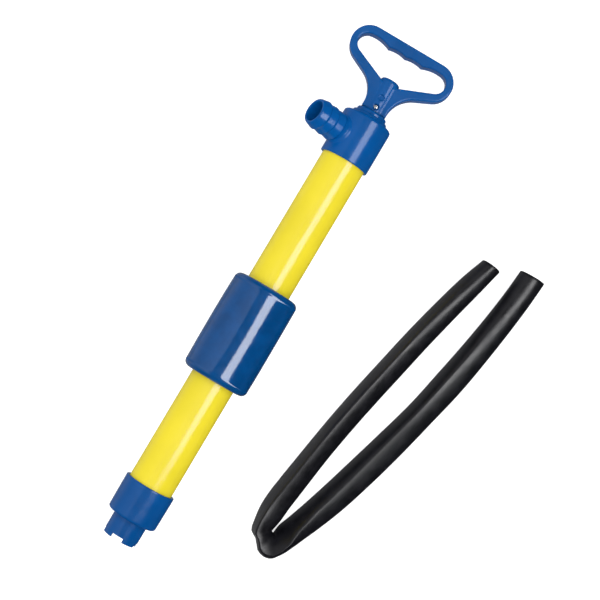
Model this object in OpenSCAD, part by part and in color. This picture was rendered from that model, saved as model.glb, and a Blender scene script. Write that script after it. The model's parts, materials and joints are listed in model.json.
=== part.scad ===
// Hand bilge pump: a tube with a barbed spout, a D-handled piston, two rubber
// valves, a foam float that slides on the tube, and a loose discharge hose.
//
// The pump lies on the ground, resting on the float's rim and on the top cap's
// shoulder. +X runs along it towards the handle, +Y is the spout's side and +Z
// is up. Each piece is drawn on the pump's own axis, where X is the distance
// from the intake's mouth, and lying() then lays it down. The hose is drawn
// where it lies on the ground.

/* [Tube] */
// Outer diameter of the pump tube
tube_od = 38.1; // [37.5:0.1:38.5]
// Wall of the pump tube
tube_wall = 2; // [1.6:0.1:2.4]
// Where the tube starts, inside the foot cap
tube_start = 24.6; // [24.5:0.1:26]
// Where the tube ends, inside the top cap
tube_end = 366; // [362:0.5:366]

/* [Foot cap] */
// Outer radius of the foot cap at its rim
foot_r = 21.75; // [21.5:0.05:23]
// Distance from the intake's mouth to the foot cap's shoulder
nozzle_len = 18.8; // [15:0.1:19]
// Distance from the intake's mouth to the foot cap's rim
foot_rim_x = 49.5; // [46:0.5:60]
// Outer radius of the intake nozzle
nozzle_r = 14.7; // [14:0.1:16]
// Inner radius of the intake nozzle
nozzle_bore_r = 12.2; // [11.5:0.1:12.5]
// Width of the crossed slots in the nozzle's mouth
slot_w = 9.8; // [6:0.2:12]
// Depth of the crossed slots
slot_depth = 3.4; // [2:0.2:5]

/* [Top cap] */
// Outer radius of the top cap
cap_r = 21.4; // [21:0.1:23]
// Where the top cap's lower rim is
cap_rim_x = 355; // [345:0.5:358]
// Where the top cap's shoulder is
cap_top_x = 395.2; // [395.2:0.1:396]
// Radius of the neck at its foot
neck_r = 15; // [14:0.1:16]

/* [Spout] */
// Where the spout's axis crosses the pump's axis
spout_x = 374.9; // [374:0.1:376]
// Angle of the spout above the ground
spout_rise = 34; // [0:1:60]
// Distance from the pump's axis to the spout's mouth
spout_reach = 48.8; // [46:0.2:48.8]
// Radius of the spout's bore
spout_bore_r = 8.9; // [7:0.1:9.5]
// Radius of the barbs
barb_r = 12.9; // [12.4:0.1:13]
// Distance from barb to barb
barb_pitch = 8.3; // [7:0.1:8.3]

/* [Handle] */
// Half of the handle's width
handle_half_w = 46.8; // [46.8:0.1:50]
// Where the handle's lower end is when it is pushed right in
handle_start = 402.4; // [402.4:0.1:403]
// Where the top of the grip is
handle_end = 464.8; // [460:0.2:470]
// Thickness of the handle's plate
handle_t = 13.5; // [10:0.5:14]
// Radius of the barrel that holds the rod
barrel_r = 8.6; // [8.2:0.1:10]

/* [Float] */
// Outer radius of the float
float_r = 29; // [26:0.5:34]
// Length of the float
float_len = 87.3; // [60:0.1:120]
// Where the float's middle is
float_x = 191.5; // [150:0.5:200]

/* [Piston] */
// Outer radius of the piston rod
rod_r = 6.5; // [6.5:0.1:6.5]
// Where the piston's lower face is when the handle is pushed right in
piston_start = 36; // [35:0.5:38]

/* [Hose] */
// Diameter of the hose where it is round
hose_d = 22; // [20:0.5:24]

/* [Hidden] */

round_fn = 96;      // facets of a true circle
run = 0.06;         // radial gap of a running fit
snug = 0.03;        // radial gap between pieces that are fixed together

tube_r = tube_od / 2;
bore_r = tube_r - tube_wall;

// Foot cap
foot_floor_x = 21;                      // top of the nozzle's bore
foot_draft = 0.35;                      // the cap narrows by this towards its shoulder
foot_corner = 2.4;
seat_t = 3.4;
seat_top_x = foot_floor_x + seat_t;
port_count = 6;
seat_port_r = 2.6;
seat_port_ring = 8;
pin_r = 2;
pin_head_r = 4.2;
disc_t = 1.2;                           // thickness of both valve discs
disc_lift = 3.8;                        // gap that each valve disc can lift into
intake_disc_r = 12.6;

// Top cap
cap_corner = 2.5;
chamber_r = 17.6;
chamber_top_x = 393.5;
neck_bore_r = 10;
neck_boss_r = 12.5;
neck_boss_x = 385.2;
neck_top_x = 398.4;
guide_r = 13.3;
guide_top_x = 401.9;
guide_start_x = 391.2;
seal_start_x = 388;
collar_r = 13.2;
barb_count = 3;
last_barb = spout_reach - 6.8;          // crest nearest the mouth
barb_land = 1.2;
barb_root_r = 11.85;
spout_lip_r = 11.1;

// Float
float_corner = 5;
float_fit = 0.08;

// Piston, counted from its lower face
skirt_len = 6;
ring_len = 4.4;
head_len = 5.6;
piston_r = 16.6;
ring_core_r = 15.1;
ring_outer_r = bore_r - 0.05;
ring_x = piston_start + skirt_len;
head_x = ring_x + ring_len;
head_top_x = head_x + head_len;
hub_r = 9;
hub_len = 12;
rod_start = head_top_x + 1.8;
rod_bore_r = 4.5;
rod_end = handle_start + 25.2;
piston_port_r = 2.1;
piston_port_ring = 12;
valve_hole_r = hub_r + 0.1;
piston_disc_r = 15.4;
stop_x = head_top_x + disc_t + disc_lift;
stop_r = 13;
piston_screw_r = 2;
piston_screw_head_r = 4.5;
piston_screw_len = 34;

// Handle: the outline is the same on both sides of the rod's axis
corner_r = 16.2;                        // big outer corners
corner_x = handle_end - corner_r;
corner_y = handle_half_w - corner_r;
arm_slope = 25.5;                       // fall of the arms' lower edges
stem_half_w = 10.7;
stem_r = 23.8;                          // hollow curve from the arms into the stem
grip_end_x = handle_end - 7.3;          // top of the outer finger hollows
grip_cusp_x = handle_end - 10.3;        // points between the finger hollows
finger_pitch = 15.8;
finger_depth = 1.2;
hole_corner_r = 8.7;
hole_corner_y = 31.9;
hole_slope = 22.9;                      // fall of the arms' upper edges
barrel_end = handle_start + 30.1;
barrel_corner = 3;
socket_depth = 25.6;
screw_x = handle_start + 4.1;
mark_x = handle_start + 12.7;
screw_head_r = 2.1;
screw_shank_r = 1.1;
recess_r = 2.5;
recess_depth = 1.4;

// The pump's lie: the ground touches the float's rim and the cap's shoulder
rim_along = cap_top_x - cap_corner - (float_x + float_len / 2 - float_corner);
rim_drop = (cap_r - cap_corner) - (float_r - float_corner);
lie_tilt = asin((float_corner - cap_corner) / norm([rim_along, rim_drop]))
    - atan2(rim_drop, rim_along);
lie_height = (float_x + float_len / 2 - float_corner) * sin(lie_tilt)
    + (float_r - float_corner) * cos(lie_tilt) + float_corner;
front_x = handle_end * cos(lie_tilt) + handle_t / 2 * sin(lie_tilt);
back_x = -nozzle_r * sin(lie_tilt);
lie_centre = (front_x + back_x) / 2;

// The hose's route on the ground, as the two edges of its flattened section,
// [inner x, inner y, outer x, outer y], down one leg, round the sharp fold, where
// only the outer edge moves on, and up the other leg
first_leg = [
    [111, -157, 113, -140], [89.5, -152, 94.5, -133.5], [58.5, -144.5, 63.5, -125],
    [28, -137.5, 32, -117.5], [-3, -131, 1, -111], [-34, -124.5, -30, -104.5],
    [-65.5, -118.5, -62, -98.5], [-96.5, -113.5, -93.5, -93.5], [-116.5, -111, -113.5, -90.5],
    [-133, -109, -130.5, -88], [-145, -107.5, -142.5, -86.5], [-157, -106.5, -155, -86],
];
fold_point = [-167.5, -105.5];
fold_outer = [
    [-168, -87.5], [-174, -88.5], [-177.5, -90], [-179.5, -93], [-181, -96], [-185, -99.5],
    [-188.5, -102.5], [-190, -106], [-190.5, -110], [-189.5, -114], [-187.5, -117],
    [-184, -119.5], [-177.5, -123.5], [-174, -125],
];
second_leg = [
    [-162, -107.5, -167.5, -128], [-154, -110.5, -160.5, -131], [-144, -114, -151.5, -135],
    [-119, -122, -126.5, -145], [-86.5, -131.5, -93, -155.5], [-53, -141, -59, -164.5],
    [-19.5, -150, -24.5, -172.5], [15.5, -157, 11, -180.5], [49, -163, 45.5, -186],
    [83.5, -168, 80.5, -190.5], [102, -170, 100, -192.5], [121.5, -171.5, 121.5, -194],
];
fold_r = 1;                             // the inner edge turns this tightly
hose_sides = 12;

yellow = [0.95, 0.86, 0.12];
blue = [0.05, 0.31, 0.6];
float_blue = [0.08, 0.33, 0.6];
natural = [0.9, 0.9, 0.87];
black = [0.06, 0.06, 0.07];
steel = [0.78, 0.79, 0.8];

// Points on an arc about centre, from angle a0 to angle a1
function arc(centre, r, a0, a1, steps = 8) =
    [for (i = [0:steps]) centre + r * [cos(a0 + (a1 - a0) * i / steps), sin(a0 + (a1 - a0) * i / steps)]];

// Half section of a plain ring from x0 to x1
function ring_section(r_in, r_out, x0, x1) = [[r_in, x0], [r_out, x0], [r_out, x1], [r_in, x1]];

// A half section [radius, x] turned about the pump's axis
module turned(section) rotate([0, 90, 0]) rotate_extrude($fn = round_fn) polygon(section);

// A round bar along the pump's axis
module bar(x, len, r) translate([x, 0, 0]) rotate([0, 90, 0]) cylinder(h = len, r = r, $fn = round_fn);

// Round ports in a ring about the pump's axis
module ports(x, len, r, ring_r)
    for (i = [0:port_count - 1])
        rotate([i * 360 / port_count, 0, 0])
            translate([0, 0, ring_r])
                bar(x, len, r);

// From the pump's axis to the ground
module lying() translate([-lie_centre, 0, lie_height]) rotate([0, lie_tilt, 0]) children();

module barrel_tube() color(yellow) lying() turned(ring_section(bore_r, tube_r, tube_start, tube_end));

// The cap's outside: lower rim, rounded shoulder and tapered neck
module top_cap_body() turned(concat(
    [[0, cap_rim_x], [cap_r - 0.8, cap_rim_x], [cap_r, cap_rim_x + 0.8]],
    arc([cap_r - cap_corner, cap_top_x - cap_corner], cap_corner, 0, 90),
    [[neck_r, cap_top_x], [neck_r - 1, neck_top_x], [0, neck_top_x]]
));

// Everything inside the cap: tube socket, chamber and the neck's bore
module top_cap_hollow() {
    bar(cap_rim_x - 1, tube_end + 0.1 - cap_rim_x + 1, tube_r + snug);
    turned(concat(
        [[0, tube_end - 1], [bore_r, tube_end - 1], [chamber_r, tube_end + 1]],
        [[chamber_r, chamber_top_x], [neck_boss_r, chamber_top_x], [neck_boss_r, neck_boss_x], [0, neck_boss_x]]
    ));
    bar(neck_boss_x - 1, neck_top_x - neck_boss_x + 2, neck_bore_r);
}

// Along +Z from the pump's axis: a barb slopes down towards the mouth
module spout_outside() rotate_extrude($fn = round_fn) polygon(concat(
    [[0, chamber_r / 2], [barb_root_r, chamber_r / 2]],
    [for (i = [barb_count - 1:-1:0]) let (crest = last_barb - i * barb_pitch) each [
        [barb_root_r, crest - barb_land - 0.5],
        [barb_r, crest - barb_land],
        [barb_r, crest],
        i > 0 ? [barb_root_r, crest + barb_pitch - barb_land - 1] : [spout_lip_r + 0.3, spout_reach - 1],
    ]],
    arc([spout_lip_r - 0.7, spout_reach - 0.7], 0.7, 0, 90, 4),
    [[0, spout_reach]]
));

module along_spout() translate([spout_x, 0, 0]) rotate([spout_rise - 90, 0, 0]) children();

module top_cap() color(blue) lying() difference() {
    union() {
        top_cap_body();
        along_spout() spout_outside();
        intersection() {
            along_spout() cylinder(h = cap_r + 4, r = collar_r, $fn = round_fn);
            bar(spout_x - 20, 40, cap_r + 0.9);
        }
    }
    top_cap_hollow();
    along_spout() translate([0, 0, 6]) cylinder(h = spout_reach, r = spout_bore_r, $fn = round_fn);
}

module rod_guide() color(blue) lying() turned(concat(
    [[rod_r + run, guide_start_x], [neck_bore_r - snug, guide_start_x], [neck_bore_r - snug, neck_top_x + 0.05]],
    [[guide_r - 0.3, neck_top_x + 0.05], [guide_r, neck_top_x + 0.6]],
    arc([guide_r - 1.6, guide_top_x - 1.6], 1.6, 0, 90, 5),
    [[rod_r + run, guide_top_x]]
));

module rod_seal() color(black) lying()
    turned(ring_section(rod_r + run, neck_bore_r - snug, seal_start_x, guide_start_x - 0.05));

module seal_retainer() color(natural) lying()
    turned(ring_section(rod_r + 0.6, neck_bore_r - snug, neck_boss_x + 0.2, seal_start_x - 0.05));

// The cap's outside: notched nozzle, shoulder and drafted wall
module foot_cap_body() turned(concat(
    [[0, 0], [nozzle_r - 0.6, 0], [nozzle_r, 0.6], [nozzle_r, nozzle_len]],
    arc([foot_r - foot_draft - foot_corner, nozzle_len + foot_corner], foot_corner, -90, 0),
    [[foot_r, foot_rim_x - 0.8], [foot_r - 0.8, foot_rim_x], [0, foot_rim_x]]
));

module foot_cap() color(blue) lying() difference() {
    foot_cap_body();
    bar(-1, foot_floor_x + 2, nozzle_bore_r);
    bar(foot_floor_x, foot_rim_x, tube_r + snug);
    for (side = [0, 90])
        rotate([side - 7, 0, 0])
            translate([-1, -slot_w / 2, -nozzle_r - 1])
                cube([slot_depth + 1, slot_w, 2 * nozzle_r + 2]);
}

module valve_seat() color(natural) lying() difference() {
    bar(foot_floor_x + 0.05, seat_t, tube_r - 0.05);
    ports(foot_floor_x - 1, seat_t + 2, seat_port_r, seat_port_ring);
    bar(foot_floor_x - 1, seat_t + 2, pin_r + snug);
}

module intake_valve() color(black) lying()
    turned(ring_section(pin_r + 0.1, intake_disc_r, seat_top_x + 0.1, seat_top_x + 0.1 + disc_t));

module intake_valve_pin() color(natural) lying() turned(concat(
    [[0, foot_floor_x + 0.4], [pin_r, foot_floor_x + 0.4], [pin_r, seat_top_x + disc_t + disc_lift]],
    [[pin_head_r, seat_top_x + disc_t + disc_lift]],
    arc([pin_head_r - 1.2, seat_top_x + disc_t + disc_lift + 0.8], 1.2, 0, 90, 4),
    [[0, seat_top_x + disc_t + disc_lift + 2]]
));

module foam_float() color(float_blue) lying() turned(concat(
    [[tube_r + float_fit, float_x - float_len / 2]],
    arc([float_r - float_corner, float_x - float_len / 2 + float_corner], float_corner, -90, 0),
    arc([float_r - float_corner, float_x + float_len / 2 - float_corner], float_corner, 0, 90),
    [[tube_r + float_fit, float_x + float_len / 2]]
));

module rod_tube() color(natural) lying() difference() {
    turned(ring_section(rod_bore_r, rod_r, rod_start, rod_end));
    translate([screw_x, 0, 0]) cylinder(h = rod_r + 1, r = screw_shank_r + snug, $fn = round_fn);
}

module rod_top_plug() color(natural) lying() difference() {
    bar(screw_x - 6, rod_end - screw_x + 6, rod_bore_r - snug);
    translate([screw_x, 0, -2]) cylinder(h = rod_r + 2, r = screw_shank_r + snug, $fn = round_fn);
}

module rod_end_plug() color(natural) lying()
    turned(ring_section(piston_screw_r + snug, rod_bore_r - snug, rod_start + 0.05, rod_start + 20));

module piston_skirt() color(natural) lying() difference() {
    turned(concat(
        [[0, piston_start], [piston_r - 1, piston_start], [piston_r, piston_start + 1]],
        [[piston_r, ring_x - 0.05], [0, ring_x - 0.05]]
    ));
    ports(piston_start - 1, skirt_len + 2, piston_port_r, piston_port_ring);
    bar(piston_start - 1, skirt_len + 2, piston_screw_r + snug);
    bar(piston_start - 1, 3.5, piston_screw_head_r + 0.3);
}

module piston_head() color(natural) lying() difference() {
    turned([
        [0, ring_x], [ring_core_r, ring_x], [ring_core_r, head_x], [piston_r, head_x],
        [piston_r, head_top_x], [hub_r, head_top_x], [hub_r, head_top_x + hub_len], [0, head_top_x + hub_len],
    ]);
    ports(ring_x - 1, ring_len + head_len + 2, piston_port_r, piston_port_ring);
    bar(ring_x - 1, 20, piston_screw_r + snug);
    bar(rod_start - 0.05, hub_len + 2, rod_r + snug);
}

module piston_ring() color(black) lying()
    turned(ring_section(ring_core_r + 0.1, ring_outer_r, ring_x + 0.1, head_x - 0.1));

module piston_valve() color(black) lying()
    turned(ring_section(valve_hole_r, piston_disc_r, head_top_x + 0.1, head_top_x + 0.1 + disc_t));

module valve_stop() color(natural) lying()
    turned(ring_section(hub_r + snug, stop_r, stop_x, stop_x + 1.5));

module piston_screw() color(steel) lying() difference() {
    union() {
        turned(concat(
            [[0, piston_start + 0.2], [piston_screw_head_r - 1, piston_start + 0.2]],
            [[piston_screw_head_r, piston_start + 1.4], [piston_screw_head_r, piston_start + 2.45]],
            [[0, piston_start + 2.45]]
        ));
        bar(piston_start + 2, piston_screw_len, piston_screw_r);
    }
    for (turn = [0, 90])
        rotate([turn, 0, 0])
            translate([piston_start, -0.5, -2.6])
                cube([1.4, 1, 5.2]);
}

// One side of the handle's outline, from the middle of the grip to the stem's
// foot: [distance from the rod's axis, x]
arm_normal = [sin(arm_slope), -cos(arm_slope)];
stem_centre_x = corner_x - ((corner_r + stem_r) - (stem_half_w + stem_r - corner_y) * arm_normal[0]) / -arm_normal[1];
function outer_side() = concat(
    arc([corner_y, corner_x], corner_r, 90, arm_slope - 90, 16),
    arc([stem_half_w + stem_r, stem_centre_x], stem_r, arm_slope + 90, 180, 10),
    [[stem_half_w, handle_start]]
);

// One side of the hand hole, from the middle of the grip to the barrel
finger_r = (pow(finger_pitch / 2, 2) + pow(finger_depth, 2)) / (2 * finger_depth);
finger_half_angle = asin(finger_pitch / 2 / finger_r);
hole_corner_x = grip_end_x - hole_corner_r - 0.2;
end_hollow_r = 31;
end_hollow_turn = 8.2;
end_hollow_centre = [hole_corner_y, hole_corner_x]
    - (end_hollow_r - hole_corner_r) * [sin(end_hollow_turn), cos(end_hollow_turn)];
end_hollow_start = asin((finger_pitch - end_hollow_centre[0]) / end_hollow_r);
hole_foot = [hole_corner_y, hole_corner_x] + hole_corner_r * [sin(hole_slope), -cos(hole_slope)];
function hole_side() = concat(
    arc([finger_pitch / 2, grip_cusp_x + finger_depth - finger_r], finger_r,
        90 + finger_half_angle, 90 - finger_half_angle, 8),
    arc(end_hollow_centre, end_hollow_r, 90 - end_hollow_start, 90 - end_hollow_turn, 8),
    arc([hole_corner_y, hole_corner_x], hole_corner_r, 90 - end_hollow_turn, hole_slope - 90, 12),
    [[0, hole_foot[1] - hole_foot[0] * tan(hole_slope)]]
);

// A side and its mirror image, as one outline in the pump's X and Y
function both_sides(side) = concat(
    [for (p = side) [p[1], p[0]]],
    [for (i = [len(side) - 1:-1:0]) [side[i][1], -side[i][0]]]
);

module handle_plate() translate([0, 0, -handle_t / 2]) linear_extrude(handle_t) difference() {
    polygon(both_sides(outer_side()));
    polygon(both_sides(hole_side()));
}

module handle_barrel() turned(concat(
    [[0, handle_start], [barrel_r, handle_start]],
    arc([barrel_r - barrel_corner, barrel_end - barrel_corner], barrel_corner, 0, 90, 6),
    [[0, barrel_end]]
));

module handle() color(blue) lying() difference() {
    union() {
        handle_plate();
        handle_barrel();
    }
    bar(handle_start - 1, socket_depth + 1, rod_r + snug);
    translate([screw_x, 0, 0]) cylinder(h = barrel_r + 1, r = screw_shank_r + snug, $fn = round_fn);
    for (x = [screw_x, mark_x])
        translate([x, 0, barrel_r - recess_depth])
            cylinder(h = recess_depth + 1, r = recess_r, $fn = round_fn);
}

module handle_screw() color(steel) lying() translate([screw_x, 0, 0]) {
    difference() {
        union() {
            translate([0, 0, -1.8]) cylinder(h = barrel_r - recess_depth + 1.8, r = screw_shank_r, $fn = round_fn);
            translate([0, 0, barrel_r - recess_depth]) rotate_extrude($fn = round_fn) polygon(concat(
                [[0, 0], [screw_head_r, 0]],
                arc([0, -1.2], norm([screw_head_r, 1.7]), 39, 90, 6)
            ));
        }
        for (turn = [0, 90])
            rotate([0, 0, turn])
                translate([-1.2, -0.25, barrel_r - recess_depth + 0.8])
                    cube([2.4, 0.5, 1]);
    }
}

// The hose's section is an ellipse from its inner edge to its outer edge, with
// the girth of the round hose
function unit(v) = v / norm(v);
hose_edges = concat(
    [for (e = first_leg) [[e[0], e[1]], [e[2], e[3]]]],
    [for (outer = fold_outer) [fold_point + fold_r * unit(outer - fold_point), outer]],
    [for (e = second_leg) [[e[0], e[1]], [e[2], e[3]]]]
);
function hose_height(width) = sqrt(2 * hose_d * hose_d - width * width);
function hose_ring(edges) =
    let (middle = (edges[0] + edges[1]) / 2, side = (edges[0] - edges[1]) / 2, height = hose_height(2 * norm(side)))
    [for (s = [0:hose_sides - 1]) let (a = 360 * s / hose_sides, point = middle + cos(a) * side)
        [point[0], point[1], height / 2 * (1 + sin(a))]];

module discharge_hose() color(black) {
    rings = len(hose_edges);
    polyhedron(
        points = [for (edges = hose_edges) each hose_ring(edges)],
        faces = concat(
            [[for (s = [hose_sides - 1:-1:0]) s]],
            [[for (s = [0:hose_sides - 1]) (rings - 1) * hose_sides + s]],
            [for (i = [0:rings - 2], s = [0:hose_sides - 1]) let (t = (s + 1) % hose_sides)
                [i * hose_sides + s, i * hose_sides + t, (i + 1) * hose_sides + t, (i + 1) * hose_sides + s]]
        )
    );
}

barrel_tube();
top_cap();
rod_guide();
rod_seal();
seal_retainer();
foot_cap();
valve_seat();
intake_valve();
intake_valve_pin();
foam_float();
rod_tube();
rod_top_plug();
rod_end_plug();
piston_skirt();
piston_head();
piston_ring();
piston_valve();
valve_stop();
piston_screw();
handle();
handle_screw();
discharge_hose();
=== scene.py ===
import functools
import json
import math

import bpy
import numpy as np
from mathutils import Matrix, Vector


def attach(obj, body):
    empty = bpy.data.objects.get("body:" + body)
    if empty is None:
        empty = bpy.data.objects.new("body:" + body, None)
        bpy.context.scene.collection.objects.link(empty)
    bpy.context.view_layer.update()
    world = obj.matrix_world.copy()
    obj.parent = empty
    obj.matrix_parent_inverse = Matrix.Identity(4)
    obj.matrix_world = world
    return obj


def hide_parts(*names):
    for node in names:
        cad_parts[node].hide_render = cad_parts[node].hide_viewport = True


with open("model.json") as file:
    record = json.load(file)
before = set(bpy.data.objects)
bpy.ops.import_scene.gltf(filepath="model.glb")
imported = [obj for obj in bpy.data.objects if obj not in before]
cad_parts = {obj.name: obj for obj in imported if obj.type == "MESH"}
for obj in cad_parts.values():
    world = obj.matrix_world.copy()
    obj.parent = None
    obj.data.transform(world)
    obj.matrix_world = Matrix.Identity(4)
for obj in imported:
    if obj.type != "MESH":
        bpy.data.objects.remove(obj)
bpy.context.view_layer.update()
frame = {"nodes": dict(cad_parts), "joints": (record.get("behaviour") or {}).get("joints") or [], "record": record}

MM = 0.001

# ---------------------------------------------------------------- camera

CAMERA_SPOT = (0.0078, -0.0271, 1.18)   # straight above this point of the ground
CAMERA_TURN = -59.30                    # degrees about the vertical
CAMERA_LENS = 84.9


def add_camera():
    data = bpy.data.cameras.new("camera")
    data.lens = CAMERA_LENS
    data.clip_start = 0.01
    camera = bpy.data.objects.new("camera", data)
    camera.location = CAMERA_SPOT
    camera.rotation_euler = (0, 0, math.radians(CAMERA_TURN))
    bpy.context.scene.collection.objects.link(camera)
    bpy.context.scene.camera = camera


add_camera()

# ---------------------------------------------------------------- mesh helpers


def add_mesh(name, points, faces, material):
    """A smooth shaded object from points in metres, in the row frame."""
    mesh = bpy.data.meshes.new(name)
    mesh.from_pydata([tuple(p) for p in points], [], [tuple(f) for f in faces])
    mesh.validate()
    mesh.shade_smooth()
    mesh.materials.append(material)
    piece = bpy.data.objects.new(name, mesh)
    bpy.context.scene.collection.objects.link(piece)
    return piece


def ring_mesh(name, rings, material):
    """A closed skin through a closed row of rings, each a closed row of points."""
    rows, columns = rings.shape[:2]
    row, column = np.meshgrid(np.arange(rows), np.arange(columns), indexing="ij")
    next_row, next_column = (row + 1) % rows, (column + 1) % columns
    corners = [row * columns + column, row * columns + next_column,
               next_row * columns + next_column, next_row * columns + column]
    faces = np.stack(corners, -1).reshape(-1, 4)
    return add_mesh(name, rings.reshape(-1, 3), faces, material)


def arc(centre, radius, start, end, steps=8):
    """Points on an arc about centre, between two angles in degrees."""
    angles = np.radians(np.linspace(start, end, steps + 1))
    return [(centre[0] + radius * math.cos(a), centre[1] + radius * math.sin(a)) for a in angles]


# ---------------------------------------------------------------- the pump's own axes

joints = {j["name"]: j for j in frame["joints"]}
mounts = {m["name"]: m for m in frame["record"]["mounts"]}


def pump_axes():
    """The pump's own frame: X along it from the intake's mouth, Y to the spout's side, in mm."""
    along = Vector(joints["pump_stroke"]["axis"]).normalized()
    side = Vector((0, 1, 0))
    up = along.cross(side)
    on_axis = Vector(joints["handle_spin"]["pos_m"])
    foot = frame["nodes"]["foot_cap"].data.vertices
    mouth = on_axis + along * min(along.dot(v.co - on_axis) for v in foot)
    turn = Matrix((along, side, up)).transposed().to_4x4()
    return Matrix.Translation(mouth) @ turn @ Matrix.Scale(MM, 4)


PUMP = pump_axes()


def lay(points):
    """Points in the pump's own frame, in mm, carried to the row frame, in metres."""
    matrix = np.array(PUMP)
    return np.asarray(points) @ matrix[:3, :3].T + matrix[:3, 3]


@functools.cache
def own_box(node):
    """A CAD node's lowest and highest corners in the pump's own frame, in mm."""
    back = PUMP.inverted()
    points = np.array([back @ v.co for v in frame["nodes"][node].data.vertices])
    return points.min(0), points.max(0)


def lathe(name, profile, material, sides=192, swell=None):
    """A closed profile of (radius, x) turned about the pump's axis; swell(angle, x) adds to the radius."""
    profile = np.array(profile)
    angles = np.linspace(0, 2 * math.pi, sides, endpoint=False)
    radius = np.repeat(profile[:, :1], sides, 1)
    along = np.repeat(profile[:, 1:], sides, 1)
    if swell is not None:
        radius = radius + swell(angles[None, :], along)
    rings = np.stack([along, radius * np.cos(angles), radius * np.sin(angles)], -1)
    return ring_mesh(name, lay(rings), material)


# ---------------------------------------------------------------- solids from distances

STEP = 0.5                              # mm between the sample points of a moulded piece
CELL = np.array([(i, j, k) for i in (0, 1) for j in (0, 1) for k in (0, 1)])
CELL_EDGES = [(a, b) for a in range(8) for b in range(a + 1, 8) if abs(CELL[a] - CELL[b]).sum() == 1]


def net_corners(values, low, step):
    """One point in each cell that the surface passes through, and a grid of their numbers."""
    inside = values < 0
    shape = tuple(n - 1 for n in values.shape)
    corner = [inside[i:i + shape[0], j:j + shape[1], k:k + shape[2]] for i, j, k in CELL]
    count = sum(c.astype(np.int8) for c in corner)
    cells = np.argwhere((count > 0) & (count < 8))
    total, found = np.zeros((len(cells), 3)), np.zeros(len(cells))
    for a, b in CELL_EDGES:
        at_a = values[tuple((cells + CELL[a]).T)]
        at_b = values[tuple((cells + CELL[b]).T)]
        crossed = (at_a < 0) != (at_b < 0)
        share = at_a / np.where(crossed, at_a - at_b, 1)
        place = cells + CELL[a] + share[:, None] * (CELL[b] - CELL[a])
        total[crossed] += place[crossed]
        found += crossed
    number = np.full(shape, -1)
    number[tuple(cells.T)] = np.arange(len(cells))
    return low + step * total / found[:, None], number


def net_faces(values, number):
    """A face for each grid edge that the surface crosses, facing outwards."""
    faces = []
    for axis in range(3):
        one, two = (axis + 1) % 3, (axis + 2) % 3
        v = np.moveaxis(values, (axis, one, two), (0, 1, 2))
        n = np.moveaxis(number, (axis, one, two), (0, 1, 2))
        start, end = v[:-1, 1:-1, 1:-1] < 0, v[1:, 1:-1, 1:-1] < 0
        quad = np.stack([n[:, :-1, :-1], n[:, 1:, :-1], n[:, 1:, 1:], n[:, :-1, 1:]], -1)
        faces.append(quad[start & ~end])
        faces.append(quad[~start & end][:, ::-1])
    return np.concatenate(faces)


def settle(points, distance, step, rounds=4):
    """Moves points onto the surface where distance is zero."""
    for _ in range(rounds):
        slope = np.stack([distance(points + step * e) - distance(points - step * e)
                          for e in np.eye(3) * 0.1], -1) / (0.2 * step)
        steep = np.maximum((slope ** 2).sum(1), 0.25)
        move = -distance(points)[:, None] * slope / steep[:, None]
        points = points + np.clip(move, -step / 2, step / 2)
    return points


def moulded(name, distance, low, high, material, step=STEP):
    """A piece whose surface is where distance(points), in the pump's own frame, is zero."""
    low, high = np.array(low, float) - 2 * step, np.array(high, float) + 2 * step
    axes = [np.arange(a, b + step, step) for a, b in zip(low, high)]
    grid = np.stack(np.meshgrid(*axes, indexing="ij"), -1)
    values = distance(grid.reshape(-1, 3)).reshape(grid.shape[:3])
    points, number = net_corners(values, low, step)
    faces = net_faces(values, number)
    return add_mesh(name, lay(settle(points, distance, step)), faces, material)


def outline_distance(x, y, outline):
    """Distance from points to a closed outline, below zero inside it."""
    outline = np.array(outline)
    near = np.full(x.shape, np.inf)
    inside = np.zeros(x.shape, bool)
    for (ax, ay), (bx, by) in zip(outline, np.roll(outline, -1, 0)):
        ex, ey = bx - ax, by - ay
        if ex == 0 and ey == 0:
            continue
        wx, wy = x - ax, y - ay
        share = np.clip((wx * ex + wy * ey) / (ex * ex + ey * ey), 0, 1)
        near = np.minimum(near, (wx - ex * share) ** 2 + (wy - ey * share) ** 2)
        above_a, above_b = y >= ay, y >= by
        left = ex * wy > ey * wx
        inside ^= (above_a & ~above_b & ~left) | (~above_a & above_b & left)
    return np.where(inside, -1, 1) * np.sqrt(near)


def turned_distance(p, profile):
    """Distance to a profile of (radius, x) turned about the pump's axis."""
    return outline_distance(np.hypot(p[:, 1], p[:, 2]), p[:, 0], profile)


def joined(a, b, fillet):
    """The union of two solids, with a fillet of about that size between them."""
    share = np.clip(0.5 + 0.5 * (b - a) / fillet, 0, 1)
    return b + (a - b) * share - fillet * share * (1 - share)


def cut(a, b, edge):
    """Solid a without solid b, with the cut's edge rounded."""
    return -joined(-a, b, edge)


def thick_plate(flat, height, half, edge):
    """A flat outline's distance made into a plate with rounded edges."""
    across, over = flat + edge, np.abs(height) - half + edge
    outside = np.hypot(np.maximum(across, 0), np.maximum(over, 0))
    return outside + np.minimum(np.maximum(across, over), 0) - edge


# ---------------------------------------------------------------- materials


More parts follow.
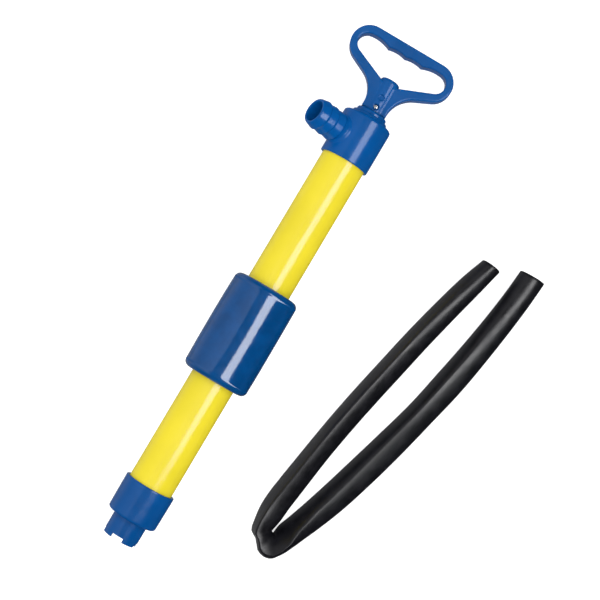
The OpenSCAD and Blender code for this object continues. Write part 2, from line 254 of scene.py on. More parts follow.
class Shader:
    """A material with one Principled shader, and short ways to add nodes to it."""

    def __init__(self, name, base, **sockets):
        self.material = bpy.data.materials.new(name)
        self.material.use_nodes = True
        self.tree = self.material.node_tree
        self.shader = self.tree.nodes["Principled BSDF"]
        self.place = self.add("ShaderNodeTexCoord").outputs["Object"]
        self.set(self.shader, {"Base Color": (*base, 1), **sockets})

    def set(self, node, sockets):
        for key, value in sockets.items():
            if isinstance(value, bpy.types.NodeSocket):
                self.tree.links.new(value, node.inputs[key])
            else:
                node.inputs[key].default_value = value

    def add(self, kind, sockets=None, **settings):
        node = self.tree.nodes.new(kind)
        for key, value in settings.items():
            setattr(node, key, value)
        self.set(node, sockets or {})
        return node

    def stretched(self, scale, tilt=0.0):
        """Coordinates for a texture that is drawn out along the pump."""
        node = self.add("ShaderNodeMapping", {
            "Vector": self.place, "Rotation": (0, tilt, 0), "Scale": scale})
        return node.outputs["Vector"]

    def noise(self, size, detail=2.0, vector=None, roughness=0.5):
        """Noise whose lumps are about size metres across."""
        node = self.add("ShaderNodeTexNoise", {
            "Vector": vector or self.place, "Scale": 1 / size, "Detail": detail, "Roughness": roughness})
        return node.outputs["Fac"]

    def spread(self, value, low, high, start=0.35, end=0.65):
        """A noise value carried to the range from low to high."""
        node = self.add("ShaderNodeMapRange", {
            "Value": value, "From Min": start, "From Max": end, "To Min": low, "To Max": high})
        return node.outputs["Result"]

    def tint(self, value, low, high):
        """A colour between low and high."""
        node = self.add("ShaderNodeMix", data_type="RGBA")
        self.tree.links.new(value, node.inputs["Factor"])
        node.inputs["A"].default_value = (*low, 1)
        node.inputs["B"].default_value = (*high, 1)
        return node.outputs["Result"]

    def bump(self, value, depth, below=None):
        """A bump of that depth, in metres, over another one."""
        node = self.add("ShaderNodeBump", {"Height": value, "Strength": 1.0, "Distance": depth})
        if below:
            self.tree.links.new(below, node.inputs["Normal"])
        return node.outputs["Normal"]

    def finish(self, **sockets):
        self.set(self.shader, {key.replace("_", " "): value for key, value in sockets.items()})
        return self.material


def shades(colour, change):
    """A colour made a little darker and a little lighter."""
    return [tuple(min(1.0, c * (1 + s * change)) for c in colour) for s in (-1, 1)]


PEEL_DEPTH = 0.00003                    # metres, as for every depth and noise size here
GRAIN_DEPTH = 0.00002


def moulded_plastic(name, colour, gloss, shine=0.5):
    """Injection moulded plastic: faint flow shading, a slight orange peel and a fine grain."""
    s = Shader(name, colour, **{"IOR": 1.5, "Specular IOR Level": shine})
    flow = s.noise(0.03, 3)
    peel = s.bump(s.noise(0.0035, 1), PEEL_DEPTH)
    grain = s.bump(s.noise(0.0005, 1), GRAIN_DEPTH, peel)
    return s.finish(
        Base_Color=s.tint(s.spread(flow, 0, 1), *shades(colour, 0.08)),
        Roughness=s.spread(s.noise(0.006, 4), gloss * 0.85, gloss * 1.2),
        Normal=grain)


STROKE = joints["pump_stroke"]["axis"]
TILT = -math.atan2(STROKE[2], STROKE[0])
DIE_LINE_DEPTH = 0.00004
WAVE_DEPTH = 0.00012


def extruded_plastic(name, colour, gloss, shine_tint):
    """Extruded tube: long faint die lines and slow waves along it."""
    s = Shader(name, colour, **{
        "IOR": 1.5, "Specular IOR Level": 0.42, "Specular Tint": (*shine_tint, 1)})
    lines = s.noise(0.0012, 2, s.stretched((0.02, 1, 1), -TILT))
    waves = s.noise(0.02, 1, s.stretched((0.35, 1, 1), -TILT))
    cloud = s.noise(0.05, 3)
    rough_lines = s.bump(lines, DIE_LINE_DEPTH)
    return s.finish(
        Base_Color=s.tint(s.spread(cloud, 0, 1), *shades(colour, 0.04)),
        Roughness=s.spread(lines, gloss * 0.85, gloss * 1.25),
        Normal=s.bump(waves, WAVE_DEPTH, rough_lines))


def skinned_foam(name, colour, gloss):
    """Foam with a smooth moulded skin: soft dimples over a slow ripple."""
    s = Shader(name, colour, **{"IOR": 1.5, "Specular IOR Level": 0.6})
    ripple = s.bump(s.noise(0.018, 2), 0.00025)
    dimples = s.bump(s.noise(0.0022, 2), 0.00003, ripple)
    return s.finish(
        Base_Color=s.tint(s.spread(s.noise(0.012, 5), 0, 1), *shades(colour, 0.1)),
        Roughness=s.spread(s.noise(0.004, 3), gloss * 0.8, gloss * 1.3),
        Normal=dimples)


def soft_rubber(name, colour, gloss):
    """Satin rubber, with a bloom of fine dust and shallow pits."""
    s = Shader(name, colour, **{"IOR": 1.6, "Specular IOR Level": 0.28})
    bloom = s.noise(0.009, 6, roughness=0.65)
    slow = s.bump(s.noise(0.012, 2), 0.00012)
    return s.finish(
        Base_Color=s.tint(s.spread(bloom, 0, 1), *shades(colour, 0.3)),
        Roughness=s.spread(bloom, gloss * 0.85, gloss * 1.2),
        Normal=s.bump(s.noise(0.0006, 3), 0.00001, slow))


def steel(name):
    """Bright stainless steel with fine turning marks."""
    s = Shader(name, (0.72, 0.73, 0.75), **{"Metallic": 1.0})
    marks = s.noise(0.0002, 2, s.stretched((1, 1, 0.1), -TILT))
    return s.finish(Roughness=s.spread(marks, 0.12, 0.26), Normal=s.bump(marks, 0.000004))


YELLOW = extruded_plastic("yellow_tube", (0.8, 0.655, 0.026), 0.16, (0.3, 0.35, 1.0))
CAP_BLUE = moulded_plastic("blue_cap", (0.0003, 0.077, 0.288), 0.17, 0.26)
FOOT_BLUE = moulded_plastic("blue_foot", (0.0003, 0.067, 0.25), 0.17, 0.38)
HANDLE_BLUE = moulded_plastic("blue_handle", (0.003, 0.078, 0.28), 0.2, 0.2)
FLOAT_BLUE = skinned_foam("blue_foam", (0.0003, 0.056, 0.2), 0.13)
WHITE_ROD = extruded_plastic("white_rod", (0.75, 0.75, 0.72), 0.2, (1.0, 1.0, 1.0))
NATURAL = moulded_plastic("natural_plastic", (0.7, 0.7, 0.66), 0.3)
RUBBER = soft_rubber("seal_rubber", (0.012, 0.012, 0.013), 0.45)
HOSE_BLACK = soft_rubber("hose_rubber", (0.0055, 0.0055, 0.008), 0.36)
STEEL = steel("stainless_steel")

# ---------------------------------------------------------------- discharge hose

HOSE_DIAMETER = 0.022                   # metres, as for the other sizes in this list
HOSE_WALL = 0.0026
HOSE_SPACING = 0.0025                   # between rings
RIM_BEVEL = 0.0005
SMOOTHING = 0.015                       # how far along the hose its height is averaged
HOSE_SIDES = 72                         # points round each ring

# The hose's two edges on the ground, in mm, as [inner x, inner y, outer x, outer y]: down
# one leg, round the sharp fold, where only the outer edge moves on, and up the other leg
FIRST_LEG = [
    (111, -157, 113, -140), (89.5, -152, 94.5, -133.5), (58.5, -144.5, 63.5, -125),
    (28, -137.5, 32, -117.5), (-3, -131, 1, -111), (-34, -124.5, -30, -104.5),
    (-65.5, -118.5, -62, -98.5), (-96.5, -113.5, -93.5, -93.5), (-116.5, -111, -113.5, -90.5),
    (-133, -109, -130.5, -88), (-145, -107.5, -142.5, -86.5), (-157, -106.5, -155, -86),
]
FOLD_POINT = (-167.5, -105.5)
FOLD_OUTER = [
    (-168, -87.5), (-174, -88.5), (-177.5, -90), (-179.5, -93), (-181, -96), (-185, -99.5),
    (-188.5, -102.5), (-190, -106), (-190.5, -110), (-189.5, -114), (-187.5, -117),
    (-184, -119.5), (-177.5, -123.5), (-174, -125),
]
SECOND_LEG = [
    (-162, -107.5, -167.5, -128), (-154, -110.5, -160.5, -131), (-144, -114, -151.5, -135),
    (-119, -122, -126.5, -145), (-86.5, -131.5, -93, -155.5), (-53, -141, -59, -164.5),
    (-19.5, -150, -24.5, -172.5), (15.5, -157, 11, -180.5), (49, -163, 45.5, -186),
    (83.5, -168, 80.5, -190.5), (102, -170, 100, -192.5), (121.5, -171.5, 121.5, -194),
]
FOLD_R = 1.0                            # mm; the inner edge turns this tightly


def hose_edges():
    """The edges at every given point, in metres."""
    inner = np.array(FOLD_POINT)
    outer = np.array(FOLD_OUTER)
    out = (outer - inner) / np.linalg.norm(outer - inner, axis=1, keepdims=True)
    fold = np.hstack([inner + FOLD_R * out, outer])
    return np.vstack([FIRST_LEG, fold, SECOND_LEG]) * MM


def smooth_through(points, spacing):
    """A smooth curve through the points, with a sample about every spacing at its middle."""
    middles = (points[:, :2] + points[:, 2:]) / 2
    gaps = np.linalg.norm(np.diff(middles, axis=0), axis=1)
    slopes = np.diff(points, axis=0) / gaps[:, None]
    spans = (gaps[:-1] + gaps[1:])[:, None]
    between = (slopes[:-1] * gaps[1:, None] + slopes[1:] * gaps[:-1, None]) / spans
    tangents = np.vstack([slopes[:1], between, slopes[-1:]])
    samples = []
    for i, gap in enumerate(gaps):
        steps = max(1, round(gap / spacing))
        for t in np.arange(steps) / steps:
            a, b, ma, mb = points[i], points[i + 1], tangents[i] * gap, tangents[i + 1] * gap
            samples.append((2 * t**3 - 3 * t**2 + 1) * a + (t**3 - 2 * t**2 + t) * ma
                           + (3 * t**2 - 2 * t**3) * b + (t**3 - t**2) * mb)
    return np.array([*samples, points[-1]])


def hose_height(edges):
    """Height of the hose where it has been pressed to the width between its edges."""
    width = math.hypot(edges[0] - edges[2], edges[1] - edges[3])
    return math.sqrt(2 * HOSE_DIAMETER**2 - width**2)


# How the soft hose has sagged, each as (distance from the fold in mm, value), minus on the
# first leg. The crest runs across the hose from -1, its outer edge, to 1, its inner edge.
# An edge's height is a share of half the hose's height, and a flat flank has 1. The sag is
# a share too, as the hose's ends stay round.
CREST_AT = [(-150, -0.35), (-60, -0.38), (-30, -0.42), (-10, -0.5), (6, -0.65), (16, -0.55),
            (28, -0.15), (50, 0.15), (130, 0.35)]
OUTER_EDGE = [(-16, 0.2), (12, 1)]
INNER_EDGE = [(4, 1), (18, 0.25)]
OUTER_FLAT = [(-110, 0), (-30, 1), (-10, 1), (10, 0)]
INNER_FLAT = [(4, 0), (18, 1), (70, 0)]
SAG = [(-300, 0), (-200, 1), (200, 1), (300, 0)]
CREST_HEIGHT = 1.97                     # a share of half the hose's height
FLANK_POWER = 1.5                       # shapes a round flank
FLAT_AT_CREST = 0.3                     # and a flat one's power is less by these
FLAT_AT_EDGE = 0.4


def along_hose(steps, along):
    """The value of one of the lists above at a distance in metres from the fold."""
    return float(np.interp(along / MM, *zip(*steps)))


def flank(share, flat):
    """Height of a flank, 1 at the crest and 0 at the edge, at a share of the way down it."""
    at_crest, at_edge = FLANK_POWER - FLAT_AT_CREST * flat, FLANK_POWER - FLAT_AT_EDGE * flat
    return (1 - share ** at_crest) ** (1 / at_edge)


def sagged(side, along):
    """Top and bottom of the hose at each place across it, as shares of half its height."""
    crest = along_hose(CREST_AT, along)
    outer = side < crest
    share = np.where(outer, (crest - side) / (crest + 1), (side - crest) / (1 - crest)).clip(0, 1)
    outer_edge, inner_edge = along_hose(OUTER_EDGE, along), along_hose(INNER_EDGE, along)
    edge = np.where(outer, outer_edge, inner_edge)
    flat = np.where(outer, along_hose(OUTER_FLAT, along), along_hose(INNER_FLAT, along))
    top = edge + (CREST_HEIGHT - edge) * flank(share, flat)
    round_rise = np.sqrt((1 - side**2).clip(0))
    bottom = np.where(side < 0, outer_edge, inner_edge) * (1 - round_rise)
    sag = along_hose(SAG, along)
    return sag * top + (1 - sag) * (1 + round_rise), sag * bottom + (1 - sag) * (1 - round_rise)


def smoothed(values, along):
    """The values averaged with their neighbours along the hose."""
    weights = np.exp(-((along[:, None] - along[None, :]) / SMOOTHING) ** 2)
    return weights @ values / weights.sum(1)


def hose_ring(edges, along, height, shrink, shift=0.0):
    """A ring of the hose, drawn in by shrink and moved out past the end by shift."""
    middle, side = (edges[:2] + edges[2:]) / 2, (edges[:2] - edges[2:]) / 2
    half = np.linalg.norm(side)
    side = side / half
    out = np.array([side[1], -side[0]]) * shift
    angles = np.linspace(0, 2 * math.pi, HOSE_SIDES, endpoint=False)
    across = (half - shrink) * np.cos(angles)
    top, bottom = sagged(np.cos(angles), along)
    centre = (top + bottom) / 2
    reach = np.where(np.sin(angles) > 0, top, bottom) - centre
    rise = height / 2 * centre + (height / 2 - shrink) * reach
    x, y = (middle[i] + out[i] + side[i] * across for i in (0, 1))
    return np.stack([x, y, rise], -1)


def add_hose():
    samples = smooth_through(hose_edges(), HOSE_SPACING)
    middles = (samples[:, :2] + samples[:, 2:]) / 2
    lengths = np.append(0, np.cumsum(np.linalg.norm(np.diff(middles, axis=0), axis=1)))
    along = lengths - lengths[np.argmin(middles[:, 0])]
    heights = smoothed(np.array([hose_height(e) for e in samples]), along)
    stations = list(zip(samples, along, heights))
    rings = [hose_ring(*station, 0) for station in stations]
    inner = [hose_ring(*station, HOSE_WALL) for station in stations]
    start, end = stations[0], stations[-1]
    rings.append(hose_ring(*end, RIM_BEVEL, RIM_BEVEL))
    rings.append(hose_ring(*end, HOSE_WALL - RIM_BEVEL, RIM_BEVEL))
    rings += inner[::-1]
    rings.append(hose_ring(*start, HOSE_WALL - RIM_BEVEL, -RIM_BEVEL))
    rings.append(hose_ring(*start, RIM_BEVEL, -RIM_BEVEL))
    hose = ring_mesh("soft_hose", np.array(rings)[:, ::-1], HOSE_BLACK)
    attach(hose, "hose")
    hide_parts("discharge_hose")


add_hose()

# ---------------------------------------------------------------- tube and float

TUBE_BEVEL = 0.3                        # mm, as for every size of the pump's own pieces
RING_FIT = 0.05                         # between the piston's ring and the tube's wall
SIDE_STATIONS = 60                      # points along a straight side


def add_tube():
    low, high = own_box("barrel_tube")
    outer = high[1]
    wall_inside = own_box("piston_ring")[1][1] + RING_FIT
    x0, x1, b = low[0], high[0], TUBE_BEVEL
    stations = np.linspace(x0 + b, x1 - b, SIDE_STATIONS)
    profile = [(wall_inside, x0), (outer - b, x0), *[(outer, x) for x in stations],
               (outer - b, x1), (wall_inside, x1)]
    tube = lathe("yellow_barrel", profile, YELLOW)
    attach(tube, "pump_body")
    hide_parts("barrel_tube")


FLOAT_CORNER = 5.0
FLOAT_FIT = 0.08
FLOAT_BEVEL = 0.6                       # at both ends of the bore
FLOAT_SHRINK = 0.3                      # how far the skin is drawn in all over
BARREL_SHRINK = 0.35                    # and how much more at its two ends
SKIN_FROM = 2                           # outside the bore, where the uneven skin starts


def float_swell(angle, x):
    """What the float's radius gains: it is a little barrel shaped and a little uneven."""
    low, high = own_box("foam_float")
    share = (x - (low[0] + high[0]) / 2) / ((high[0] - low[0]) / 2)
    barrel = -BARREL_SHRINK * share**2
    lean = 0.22 * np.cos(4 * (angle - 0.12) + 1.3 * share**2)
    uneven = 0.1 * np.sin(3 * angle + 1.1 + 1.5 * share) + 0.08 * np.sin(5 * angle + 2.2 * share)
    return barrel + lean + uneven - FLOAT_SHRINK


def add_float():
    low, high = own_box("foam_float")
    outer = high[1]
    bore = own_box("barrel_tube")[1][1] + FLOAT_FIT
    x0, x1, c, b = low[0], high[0], FLOAT_CORNER, FLOAT_BEVEL
    side = [(outer, x) for x in np.linspace(x0 + c, x1 - c, SIDE_STATIONS)]
    skin = [*arc((outer - c, x0 + c), c, -90, 0, 12), *side, *arc((outer - c, x1 - c), c, 0, 90, 12)]
    profile = [(bore, x0 + b), (bore + b, x0), *skin, (bore + b, x1), (bore, x1 - b)]
    on_skin = np.array([r > bore + SKIN_FROM for r, _ in profile])

    def swell(angle, x):
        return np.where(on_skin[:, None], float_swell(angle, x), 0)

    body = lathe("foam_sleeve", profile, FLOAT_BLUE, swell=swell)
    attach(body, "float")
    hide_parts("foam_float")


add_tube()
add_float()

# ---------------------------------------------------------------- foot cap

FIT = 0.03                              # radial gap between fixed pieces
RIM_R = 0.7                             # rounding of the caps' rims and the nozzle's end
PAST = 5                                # how far a cut runs past the end it opens
NOZZLE_LEN = 18.8
FOOT_DRAFT = 0.35
FOOT_CORNER = 2.4
NOZZLE_ROOT_R = 0.8                     # hollow between the nozzle and the shoulder
SLOT_W = 9.8
SLOT_DEPTH = 3.4
SLOT_TURN = 7.0                         # degrees that the crossed slots are turned by


def foot_distance(p):
    high = own_box("foot_cap")[1]
    rim_r, rim_x = high[1], high[0]
    nozzle_r = mounts["intake_nozzle"]["dims"]["r_mm"]
    bore_r = mounts["intake_bore"]["dims"]["r_mm"]
    floor_x = mounts["intake_bore"]["dims"]["length_mm"]
    tube_r = own_box("barrel_tube")[1][1] + FIT
    wall, root = rim_r - FOOT_DRAFT, NOZZLE_ROOT_R
    outside = [(0, 0), *arc((nozzle_r - RIM_R, RIM_R), RIM_R, -90, 0, 4),
               (nozzle_r, NOZZLE_LEN - root),
               *arc((nozzle_r + root, NOZZLE_LEN - root), root, 180, 90, 4),
               *arc((wall - FOOT_CORNER, NOZZLE_LEN + FOOT_CORNER), FOOT_CORNER, -90, 0),
               *arc((rim_r - RIM_R, rim_x - RIM_R), RIM_R, 0, 90, 4), (0, rim_x)]
    inside = [(0, -PAST), (bore_r, -PAST), (bore_r, floor_x), (tube_r, floor_x),
              (tube_r, rim_x + PAST), (0, rim_x + PAST)]
    body = cut(turned_distance(p, outside), turned_distance(p, inside), 0.5)
    for quarter in (0, 90):
        turn = math.radians(quarter - SLOT_TURN)
        across = p[:, 1] * math.cos(turn) + p[:, 2] * math.sin(turn)
        slot = np.maximum(np.abs(across) - SLOT_W / 2, p[:, 0] - SLOT_DEPTH)
        body = cut(body, slot, 0.6)
    return body


def add_foot_cap():
    foot = moulded("notched_foot", foot_distance, *own_box("foot_cap"), FOOT_BLUE)
    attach(foot, "pump_body")
    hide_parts("foot_cap")


add_foot_cap()

# ---------------------------------------------------------------- top cap with its spout

CAP_CORNER = 2.5
CAP_SHOULDER_X = 395.2
NECK_R = 15.3
CHAMBER_R = 17.6
CHAMBER_TOP_X = 393.5
COLLAR_R = 12.9
COLLAR_RISE = 1.1
COLLAR_T = 4.0
BARB_PITCH = 8.3
BARB_LAND = 1.2
BARB_ROOT_R = 11.85
LAST_BARB = 6.8                         # from the mouth to the nearest crest
LIP_R = 11.1
LIP_ROUND = 0.8
BORE_PAST_MOUTH = 0.4                   # the bore's mount ends this far past the mouth
SPOUT_ROOT = 8                          # from the pump's axis to the spout's solid
BORE_START = 6                          # and to the start of the spout's bore
SPOUT_FILLET = 0.9


def spout_axes():
    """Where the spout's axis crosses the pump's axis, and its direction, in the pump's own frame."""
    back = PUMP.inverted()
    mount = mounts["outlet_barb"]
    on_axis = back @ Vector(mount["pos_m"])
    direction = (back.to_3x3() @ Vector(mount["axis"])).normalized()
    return on_axis.x, direction.y, direction.z


SPOUT_X, SPOUT_Y, SPOUT_Z = spout_axes()


def spout_reach():
    """Distance from the pump's axis to the spout's mouth."""
    bore = mounts["outlet_bore"]
    middle = PUMP.inverted() @ Vector(bore["pos_m"])
    return math.hypot(middle.y, middle.z) + bore["dims"]["length_mm"] / 2 - BORE_PAST_MOUTH


def spout_profile(reach):
    """Outline of the barbed pipe as (radius, distance from the pump's axis)."""
    barb_r = mounts["outlet_barb"]["dims"]["r_mm"]
    points = [(0, SPOUT_ROOT), (BARB_ROOT_R, SPOUT_ROOT)]
    for i in (2, 1, 0):
        crest = reach - LAST_BARB - i * BARB_PITCH
        points += [(BARB_ROOT_R, crest - BARB_LAND - 0.8), (barb_r - 0.2, crest - BARB_LAND),
                   (barb_r, crest - 0.5 * BARB_LAND), (barb_r - 0.1, crest)]
        if i:
            points.append((BARB_ROOT_R, crest + BARB_PITCH - BARB_LAND - 1))
    lip = arc((LIP_R - LIP_ROUND, reach - LIP_ROUND), LIP_ROUND, 0, 90, 5)
    return points + [(LIP_R + 0.3, reach - 1.2), *lip, (0, reach)]


def cap_distance(p):
    low, high = own_box("top_cap")
    rim_x, neck_top = low[0], high[0]
    cap_r = -low[1]
    tube_high = own_box("barrel_tube")[1]
    tube_r, tube_end = tube_high[1] + FIT, tube_high[0] + 0.1
    guide_r = own_box("rod_seal")[1][1] + FIT
    outside = [(0, rim_x), *arc((cap_r - RIM_R, rim_x + RIM_R), RIM_R, -90, 0, 4),
               *arc((cap_r - CAP_CORNER, CAP_SHOULDER_X - CAP_CORNER), CAP_CORNER, 0, 90),
               *arc((NECK_R + 1.4, CAP_SHOULDER_X + 1.0), 1.0, 270, 190, 4),
               *arc((NECK_R - 0.7, neck_top - 0.9), 0.9, 0, 90, 4), (0, neck_top)]
    inside = [(0, rim_x - PAST), (tube_r, rim_x - PAST), (tube_r, tube_end), (CHAMBER_R, tube_end),
              (CHAMBER_R, CHAMBER_TOP_X), (guide_r, CHAMBER_TOP_X), (guide_r, neck_top + PAST),
              (0, neck_top + PAST)]
    along = p[:, 1] * SPOUT_Y + p[:, 2] * SPOUT_Z
    off = np.hypot(p[:, 0] - SPOUT_X, p[:, 1] * SPOUT_Z - p[:, 2] * SPOUT_Y)
    pipe = outline_distance(off, along, spout_profile(spout_reach()))
    ring = np.hypot(p[:, 1], p[:, 2]) - (cap_r + COLLAR_RISE - COLLAR_T / 2)
    collar = np.maximum(thick_plate(off - COLLAR_R, ring, COLLAR_T / 2, 0.8), -along)
    bore = np.maximum(off - mounts["outlet_bore"]["dims"]["r_mm"], BORE_START - along)
    body = joined(turned_distance(p, outside), collar, 0.8)
    body = joined(body, pipe, SPOUT_FILLET)
    body = cut(body, turned_distance(p, inside), 0.4)
    return cut(body, bore, 0.8)


def add_top_cap():
    cap = moulded("spout_cap", cap_distance, *own_box("top_cap"), CAP_BLUE)
    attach(cap, "pump_body")
    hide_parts("top_cap")


ROD_CLEARANCE = 0.06
SEAT_GAP = 0.05
GUIDE_ROUND = 1.6


def add_guide():
    low, high = own_box("rod_guide")
    flange_r = high[1]
    bore = own_box("rod_tube")[1][1] + ROD_CLEARANCE
    stem_r = own_box("rod_seal")[1][1]
    seat = own_box("top_cap")[1][0] + SEAT_GAP
    top, bend = high[0], GUIDE_ROUND
    profile = [(bore, low[0]), (stem_r, low[0]), (stem_r, seat),
               *arc((flange_r - 0.5, seat + 0.5), 0.5, -90, 0, 4),
               *arc((flange_r - bend, top - bend), bend, 0, 90, 8), (bore + 0.4, top), (bore, top - 0.4)]
    guide = lathe("guide_bush", profile, CAP_BLUE)
    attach(guide, "pump_body")
    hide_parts("rod_guide")


add_top_cap()
add_guide()

# ---------------------------------------------------------------- handle

HANDLE_T = 13.5
HANDLE_EDGE = 1.6                       # rounding of the plate's edges
CORNER_R = 16.2                         # big outer corners
ARM_SLOPE = 25.5                        # fall of the arms' lower edges
STEM_HALF_W = 11.0
STEM_R = 23.8                           # hollow curve from the arms into the stem
GRIP_END = 7.3                          # from the handle's end to the outer finger hollows
GRIP_CUSP = 10.3                        # and to the points between the hollows
FINGER_PITCH = 15.8
FINGER_DEPTH = 1.2
HOLE_CORNER_R = 8.7
HOLE_CORNER_Y = 31.9
HOLE_SLOPE = 22.9                       # fall of the arms' upper edges
END_HOLLOW_R = 31.0
END_HOLLOW_TURN = 8.2
BARREL_LEN = 30.1                       # of the round barrel that holds the rod
BARREL_CORNER = 3.0
SOCKET_DEPTH = 25.6
SCREW_AT = 4.1                          # from the handle's end nearest the pump
MARK_AT = 12.7                          # and to a second, empty recess
RECESS_R = 2.5
RECESS_DEPTH = 1.4

HANDLE_LOW, HANDLE_HIGH = own_box("handle")
START, END, HALF_W, BARREL_R = HANDLE_LOW[0], HANDLE_HIGH[0], HANDLE_HIGH[1], HANDLE_HIGH[2]


def outer_side():
    """One side of the handle's outline as (distance from the axis, x), from grip to stem."""
    corner = (HALF_W - CORNER_R, END - CORNER_R)
    slope = math.radians(ARM_SLOPE)
    gap = (CORNER_R + STEM_R) - (STEM_HALF_W + STEM_R - corner[0]) * math.sin(slope)
    stem_centre = (STEM_HALF_W + STEM_R, corner[1] - gap / math.cos(slope))
    return [(0, END), *arc(corner, CORNER_R, 90, ARM_SLOPE - 90, 16),
            *arc(stem_centre, STEM_R, ARM_SLOPE + 90, 180, 10), (STEM_HALF_W, START), (0, START)]


def hole_side():
    """One side of the hand hole, from the middle of the grip to the barrel."""
    finger_r = ((FINGER_PITCH / 2) ** 2 + FINGER_DEPTH ** 2) / (2 * FINGER_DEPTH)
    half = math.degrees(math.asin(FINGER_PITCH / 2 / finger_r))
    finger_centre = (FINGER_PITCH / 2, END - GRIP_CUSP + FINGER_DEPTH - finger_r)
    corner = (HOLE_CORNER_Y, END - GRIP_END - HOLE_CORNER_R - 0.2)
    turn, slope = math.radians(END_HOLLOW_TURN), math.radians(HOLE_SLOPE)
    offset = END_HOLLOW_R - HOLE_CORNER_R
    hollow = (corner[0] - offset * math.sin(turn), corner[1] - offset * math.cos(turn))
    first = math.degrees(math.asin((FINGER_PITCH - hollow[0]) / END_HOLLOW_R))
    foot = (corner[0] + HOLE_CORNER_R * math.sin(slope), corner[1] - HOLE_CORNER_R * math.cos(slope))
    return [*arc(finger_centre, finger_r, 90 + half, 90 - half, 8),
            *arc(hollow, END_HOLLOW_R, 90 - first, 90 - END_HOLLOW_TURN, 8),
            *arc(corner, HOLE_CORNER_R, 90 - END_HOLLOW_TURN, HOLE_SLOPE - 90, 12),
            (0, foot[1] - foot[0] * math.tan(slope))]


def mirrored(side):
    """One side's points and their mirror images, as one closed outline."""
    return [*side, *[(-y, x) for y, x in side[::-1]]]


def handle_distance(p):
    flat = np.maximum(outline_distance(p[:, 1], p[:, 0], mirrored(outer_side())),
                      -outline_distance(p[:, 1], p[:, 0], mirrored(hole_side())))
    plate = thick_plate(flat, p[:, 2], HANDLE_T / 2, HANDLE_EDGE)
    reach, socket = START + BARREL_LEN, START + SOCKET_DEPTH
    barrel = [(0, START), (BARREL_R - 0.5, START), (BARREL_R, START + 0.5),
              *arc((BARREL_R - BARREL_CORNER, reach - BARREL_CORNER), BARREL_CORNER, 0, 90), (0, reach)]
    body = joined(plate, turned_distance(p, barrel), 0.9)
    rod_r = own_box("rod_tube")[1][1] + FIT
    rod = [(0, START - 3), (rod_r, START - 3), (rod_r, socket), (0, socket)]
    body = cut(body, turned_distance(p, rod), 0.4)
    for at in (SCREW_AT, MARK_AT):
        hole = np.hypot(p[:, 0] - START - at, p[:, 1]) - RECESS_R
        body = cut(body, np.maximum(hole, BARREL_R - RECESS_DEPTH - p[:, 2]), 0.5)
    return body


def add_handle():
    handle = moulded("finger_grip", handle_distance, HANDLE_LOW, HANDLE_HIGH, HANDLE_BLUE)
    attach(handle, "plunger")
    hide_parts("handle")


SCREW_STEP = 0.12                       # mm between the sample points of the small screw
SCREW_HEAD_R = 2.1
SCREW_SHANK_R = 1.1
SCREW_SLOT_W = 0.5
DOME_DROP = 1.2                         # from the recess's floor down to the dome's centre
DOME_RISE = 1.7                         # and from that centre up to the head's rim


def screw_distance(p):
    seat = BARREL_R - RECESS_DEPTH
    x, y, z = p[:, 0] - START - SCREW_AT, p[:, 1], p[:, 2] - seat
    off = np.hypot(x, y)
    ball = np.sqrt(off**2 + (z + DOME_DROP)**2) - math.hypot(SCREW_HEAD_R, DOME_RISE)
    dome = np.maximum(ball, np.maximum(off - SCREW_HEAD_R, -z))
    shank = np.maximum(off - SCREW_SHANK_R, np.maximum(z - 0.3, -z - seat - 1.7))
    body = np.minimum(dome, shank)
    for across, other in ((x, y), (y, x)):
        slot = np.maximum(np.abs(across) - SCREW_SLOT_W / 2, np.maximum(np.abs(other) - 1.2, 0.8 - z))
        body = cut(body, slot, 0.1)
    return body


def add_screw():
    low, high = own_box("handle_screw")
    screw = moulded("dome_screw", screw_distance, low, high, STEEL, SCREW_STEP)
    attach(screw, "plunger")
    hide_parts("handle_screw")


add_handle()
add_screw()

# ---------------------------------------------------------------- inner pieces

INNER = {
    "rod_seal": RUBBER, "intake_valve": RUBBER, "piston_ring": RUBBER, "piston_valve": RUBBER,
    "seal_retainer": NATURAL, "valve_seat": NATURAL, "intake_valve_pin": NATURAL, "rod_top_plug": NATURAL,
    "rod_end_plug": NATURAL, "piston_skirt": NATURAL, "piston_head": NATURAL, "valve_stop": NATURAL,
    "rod_tube": WHITE_ROD, "piston_screw": STEEL,
}
for name, material in INNER.items():
    node = frame["nodes"][name]
    node.data.materials.clear()
    node.data.materials.append(material)

# ---------------------------------------------------------------- floor, lights and background

FLOOR_SIZE = 12.0                       # metres, as for the lights' sizes and distances
FLOOR_SHADE = 0.65
FLOOR_GLOW = 0.75
WORLD_LIGHT = 0.56
WORLD_SHINE = 0.3                       # what glossy surfaces see of the world, at most
SHINE_FROM = (0, 0.6, -0.8)             # where that is brightest: below, on the spout's side
SHINE_START = 0.3                       # cosine of the angle from there at which it starts
SHINE_FULL = 0.9                        # and at which it is full
FILL_FIRST = 17.0                       # degrees off overhead where the fills begin
FILL_STEPS = [34, 46, 57, 67, 78, 120]  # and where each one ends
FILL_DISTANCE = 1.6
FILL_LENGTH = 2.4
FILL_SHARE = 0.09                       # radiance of each fill but the widest
FILL_BASE = 0.27                        # and of the widest


def add_floor():
    grey = (FLOOR_SHADE,) * 3
    s = Shader("floor_paper", grey, **{
        "Roughness": 0.9, "Specular IOR Level": 0.1,
        "Emission Color": (1, 1, 1, 1), "Emission Strength": FLOOR_GLOW})
    material = s.finish(Base_Color=s.tint(s.noise(0.002, 3), *shades(grey, 0.01)))
    half = FLOOR_SIZE / 2
    corners = [(-half, -half, 0), (half, -half, 0), (half, half, 0), (-half, half, 0)]
    floor = add_mesh("floor", corners, [(0, 1, 2, 3)], material)
    floor.visible_glossy = False


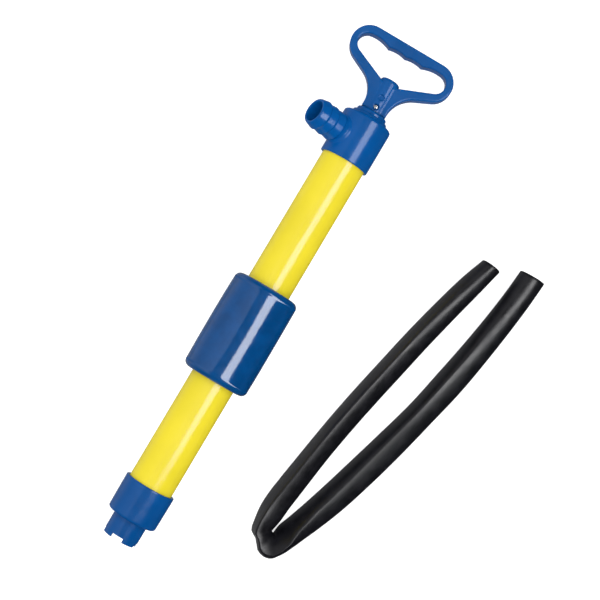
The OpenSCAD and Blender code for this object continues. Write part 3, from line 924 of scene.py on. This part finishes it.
def add_softbox(name, lean, distance, size, radiance, along=0.0, diffuse=True, glossy=True):
    """A softbox in line with the pump, leaning that many degrees from overhead towards -Y.

    size is (length along X, width), along is the X of its middle, and diffuse and glossy
    say whether it shows in matt and in glossy surfaces."""
    data = bpy.data.lights.new(name, "AREA")
    data.shape = "RECTANGLE"
    data.size, data.size_y = size
    data.energy = radiance * math.pi * size[0] * size[1]
    lamp = bpy.data.objects.new(name, data)
    lamp.visible_diffuse = diffuse
    lamp.visible_glossy = glossy
    angle = math.radians(lean)
    lamp.location = (along, -distance * math.sin(angle), distance * math.cos(angle))
    lamp.rotation_euler = (angle, 0, 0)
    bpy.context.scene.collection.objects.link(lamp)


def add_fill(name, last):
    """A faint softbox on the spout's side, from FILL_FIRST degrees off overhead down to last."""
    half = (last - FILL_FIRST) / 2
    width = 2 * FILL_DISTANCE * math.tan(math.radians(half))
    radiance = FILL_BASE if last == FILL_STEPS[-1] else FILL_SHARE
    add_softbox(name, -(FILL_FIRST + half), FILL_DISTANCE, (FILL_LENGTH, width), radiance, diffuse=False)


def add_world():
    """Even white light from all round. Glossy surfaces see it only from below, on the spout's side."""
    world = bpy.data.worlds.new("studio")
    world.use_nodes = True
    tree = world.node_tree
    paths = tree.nodes.new("ShaderNodeLightPath")
    direction = tree.nodes.new("ShaderNodeTexCoord")
    facing = tree.nodes.new("ShaderNodeVectorMath")
    facing.operation = "DOT_PRODUCT"
    facing.inputs[1].default_value = SHINE_FROM
    below = tree.nodes.new("ShaderNodeMapRange")
    strength = tree.nodes.new("ShaderNodeMapRange")
    limits = {"From Min": SHINE_START, "From Max": SHINE_FULL, "To Min": 0, "To Max": WORLD_SHINE}
    for key, value in limits.items():
        below.inputs[key].default_value = value
    strength.inputs["To Min"].default_value = WORLD_LIGHT
    tree.links.new(direction.outputs["Generated"], facing.inputs[0])
    tree.links.new(facing.outputs["Value"], below.inputs["Value"])
    tree.links.new(paths.outputs["Is Glossy Ray"], strength.inputs["Value"])
    tree.links.new(below.outputs["Result"], strength.inputs["To Max"])
    tree.links.new(strength.outputs["Result"], tree.nodes["Background"].inputs["Strength"])
    tree.nodes["Background"].inputs["Color"].default_value = (0.97, 0.98, 1.0, 1)
    bpy.context.scene.world = world


add_floor()
add_softbox("key_strip", lean=31.4, distance=1.3, size=(0.84, 0.65), radiance=9.5,
            along=0.18, diffuse=False)
add_softbox("key_wash", lean=5.0, distance=1.3, size=(1.8, 1.2), radiance=2.4, glossy=False)
for i, last in enumerate(FILL_STEPS):
    add_fill(f"fill_{i + 1}", last)
add_world()
bpy.context.scene.view_settings.view_transform = "Standard"
